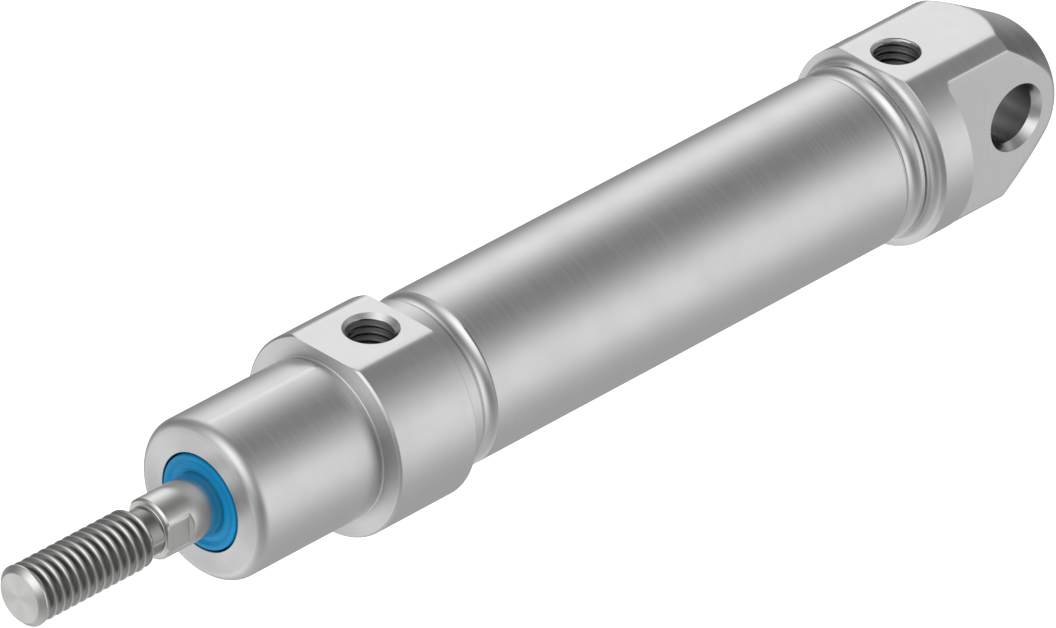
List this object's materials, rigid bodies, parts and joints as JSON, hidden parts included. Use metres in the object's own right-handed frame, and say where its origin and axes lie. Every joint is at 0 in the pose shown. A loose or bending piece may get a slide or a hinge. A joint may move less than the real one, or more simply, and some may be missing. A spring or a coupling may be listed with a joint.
{
  "type": "pneumatic cylinder",
  "caption": "Small round double-acting pneumatic cylinder with a rolled barrel, smooth front spigot, threaded rod, two top air ports and a rear pivot lug.",
  "frame": {"origin": "middle of the pivot hole through the rear lug", "axes": "+X along the cylinder towards the rod thread, the way the rod extends; +Y along the pivot hole; +Z out of the two air ports"},
  "size_m": [0.13, 0.02, 0.019],
  "materials": {
    "cap_steel": "fine turned and milled stainless steel, satin",
    "barrel_steel": "circumferentially brushed stainless tube",
    "rod_steel": "ground stainless shank with a rolled thread",
    "fastener_steel": "plain steel washers and nut",
    "piston_aluminium": "turned aluminium",
    "bush_bronze": "sintered bronze",
    "magnet": "dark sintered magnet",
    "wiper_blue": "smooth blue polyurethane",
    "seal_rubber": "black nitrile rubber",
    "bumper_rubber": "dark green elastomer",
    "guide_plastic": "natural acetal"
  },
  "bodies": {
    "barrel": {"end_cap": "cap_steel", "bearing_cap": "cap_steel", "barrel_tube": "barrel_steel", "rear_cap_o_ring": "seal_rubber", "front_cap_o_ring": "seal_rubber", "rear_bumper": "bumper_rubber", "front_bumper": "bumper_rubber", "rod_guide_bush": "bush_bronze", "rod_seal_washer": "fastener_steel", "rod_seal": "seal_rubber", "rod_wiper_seal": "wiper_blue"},
    "piston_seals": {"piston_seal_rear": "seal_rubber", "piston_seal_front": "seal_rubber", "piston_guide_ring": "guide_plastic"},
    "rod": {"piston_rod": "rod_steel", "piston_rear_half": "piston_aluminium", "piston_front_half": "piston_aluminium", "piston_magnet": "magnet", "piston_o_ring": "seal_rubber", "piston_washer": "fastener_steel", "piston_nut": "fastener_steel"}
  },
  "joints": [
    {"name": "rod_slide", "type": "slide", "parent": "barrel", "child": "piston_seals", "axis": [1, 0, 0], "range_m": [0, 0.025]},
    {"name": "rod_spin", "type": "hinge", "parent": "piston_seals", "child": "rod", "pos_m": [0, 0, 0], "axis": [1, 0, 0], "continuous": true}
  ]
}
